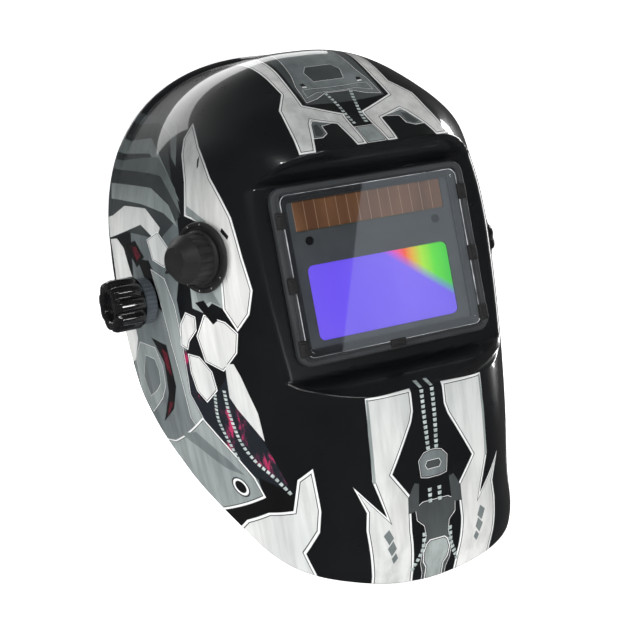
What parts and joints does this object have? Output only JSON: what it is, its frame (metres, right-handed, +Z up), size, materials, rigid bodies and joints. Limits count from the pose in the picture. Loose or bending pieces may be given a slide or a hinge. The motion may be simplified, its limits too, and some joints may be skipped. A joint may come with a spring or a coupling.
{
  "type": "welding helmet",
  "caption": "Flip-up welding helmet: hinged gloss face shell with auto-darkening filter, outside shade knob and adjustable ratchet headgear.",
  "frame": {"origin": "middle of the wearer's head at eye height, midway between the temples", "axes": "+Z up with the helmet worn and the shell down; the wearer looks along -Y; the wearer's right side is -X"},
  "size_m": [0.2628, 0.2819, 0.3134],
  "materials": {
    "black_gloss": "high gloss injection-moulded nylon with a printed panel pattern",
    "black_plastic": "fine satin moulded plastic",
    "dark_grey_plastic": "satin grey cartridge housing",
    "grey_plastic": "satin grey spacer plastic",
    "clear_polycarbonate": "clear polycarbonate, polished",
    "solar_cell": "copper-brown amorphous cell strip behind glass",
    "filter_glass": "violet-blue interference-coated filter glass",
    "circuit_board": "green solder mask",
    "bright_steel": "zinc-plated steel",
    "brass": "machined brass",
    "foam_cloth": "dark grey woven sweat cloth over foam",
    "sensor_lens": "smoked sensor window",
    "cable_jacket": "soft black cable jacket"
  },
  "bodies": {
    "headgear": {"headband": "black_plastic", "sweatband": "foam_cloth", "crown_peg": "black_plastic", "crown_strap_right": "black_plastic", "crown_strap_rivet_right": "bright_steel", "side_arm_right": "black_plastic", "side_arm_rivet_right": "bright_steel", "rear_strap_right": "black_plastic", "rear_strap_rivet_right": "bright_steel", "stop_plate_right": "bright_steel", "pivot_bolt_right": "bright_steel", "pivot_spacer_right": "grey_plastic", "crown_strap_left": "black_plastic", "crown_strap_rivet_left": "bright_steel", "side_arm_left": "black_plastic", "side_arm_rivet_left": "bright_steel", "rear_strap_left": "black_plastic", "rear_strap_rivet_left": "bright_steel", "stop_plate_left": "bright_steel", "pivot_bolt_left": "bright_steel", "pivot_spacer_left": "grey_plastic", "ratchet_housing": "black_plastic", "ratchet_cover": "black_plastic", "rear_pad": "foam_cloth", "ratchet_screw_1": "bright_steel", "ratchet_screw_2": "bright_steel", "ratchet_screw_3": "bright_steel", "ratchet_screw_4": "bright_steel"},
    "shell_assembly": {"shell": "black_gloss", "front_bezel": "black_plastic", "front_cover_lens": "clear_polycarbonate", "adf_front_housing": "dark_grey_plastic", "adf_rear_housing": "dark_grey_plastic", "solar_panel": "solar_cell", "lcd_filter": "filter_glass", "arc_sensor_right": "sensor_lens", "arc_sensor_left": "sensor_lens", "circuit_board": "circuit_board", "backup_battery": "bright_steel", "inner_frame": "black_plastic", "inner_cover_lens": "clear_polycarbonate", "shade_scale_ring": "black_plastic", "shade_pot_nut": "bright_steel", "shade_potentiometer": "bright_steel", "shade_cable": "cable_jacket"},
    "shade_knob_body": {"shade_knob": "black_plastic"},
    "sensitivity_dial_body": {"sensitivity_dial": "black_plastic"},
    "delay_dial_body": {"delay_dial": "black_plastic"},
    "tension_right": {"tension_knob_right": "black_gloss", "knob_insert_right": "brass"},
    "tension_left": {"tension_knob_left": "black_gloss", "knob_insert_left": "brass"},
    "ratchet_drive": {"ratchet_knob": "black_plastic", "ratchet_pinion": "grey_plastic"},
    "rack_right": {"rack_tail_right": "black_plastic"},
    "rack_left": {"rack_tail_left": "black_plastic"}
  },
  "joints": [
    {"name": "shell_tilt", "type": "hinge", "parent": "headgear", "child": "shell_assembly", "pos_m": [0, -0.039, -0.004], "axis": [-1, 0, 0], "range_deg": [0, 65]},
    {"name": "shade_turn", "type": "hinge", "parent": "shell_assembly", "child": "shade_knob_body", "pos_m": [-0.09231, -0.09655, 0.01807], "axis": [-0.9369, -0.3474, 0.0405], "range_deg": [-135, 135]},
    {"name": "sensitivity_turn", "type": "hinge", "parent": "shell_assembly", "child": "sensitivity_dial_body", "pos_m": [-0.032, -0.12819, 0.02594], "axis": [0, 0.9976, -0.0698], "range_deg": [-135, 135]},
    {"name": "delay_turn", "type": "hinge", "parent": "shell_assembly", "child": "delay_dial_body", "pos_m": [0.032, -0.12819, 0.02594], "axis": [0, 0.9976, -0.0698], "range_deg": [-135, 135]},
    {"name": "tension_turn_right", "type": "hinge", "parent": "headgear", "child": "tension_right", "pos_m": [-0.112, -0.039, -0.004], "axis": [-1, 0, 0], "range_deg": [0, 360]},
    {"name": "tension_turn_left", "type": "hinge", "parent": "headgear", "child": "tension_left", "pos_m": [0.112, -0.039, -0.004], "axis": [1, 0, 0], "range_deg": [0, 360]},
    {"name": "ratchet_turn", "type": "hinge", "parent": "headgear", "child": "ratchet_drive", "pos_m": [0, 0.11, -0.0295], "axis": [0, -1, 0], "range_deg": [0, 180]},
    {"name": "rack_slide_right", "type": "slide", "parent": "headgear", "child": "rack_right", "axis": [1, 0, 0], "range_m": [0, 0.01571]},
    {"name": "rack_slide_left", "type": "slide", "parent": "headgear", "child": "rack_left", "axis": [-1, 0, 0], "range_m": [0, 0.01571]}
  ],
  "couplings": [
    {"joint": "rack_slide_right", "follows": "ratchet_turn", "m_per_rad": 0.005},
    {"joint": "rack_slide_left", "follows": "ratchet_turn", "m_per_rad": 0.005}
  ]
}
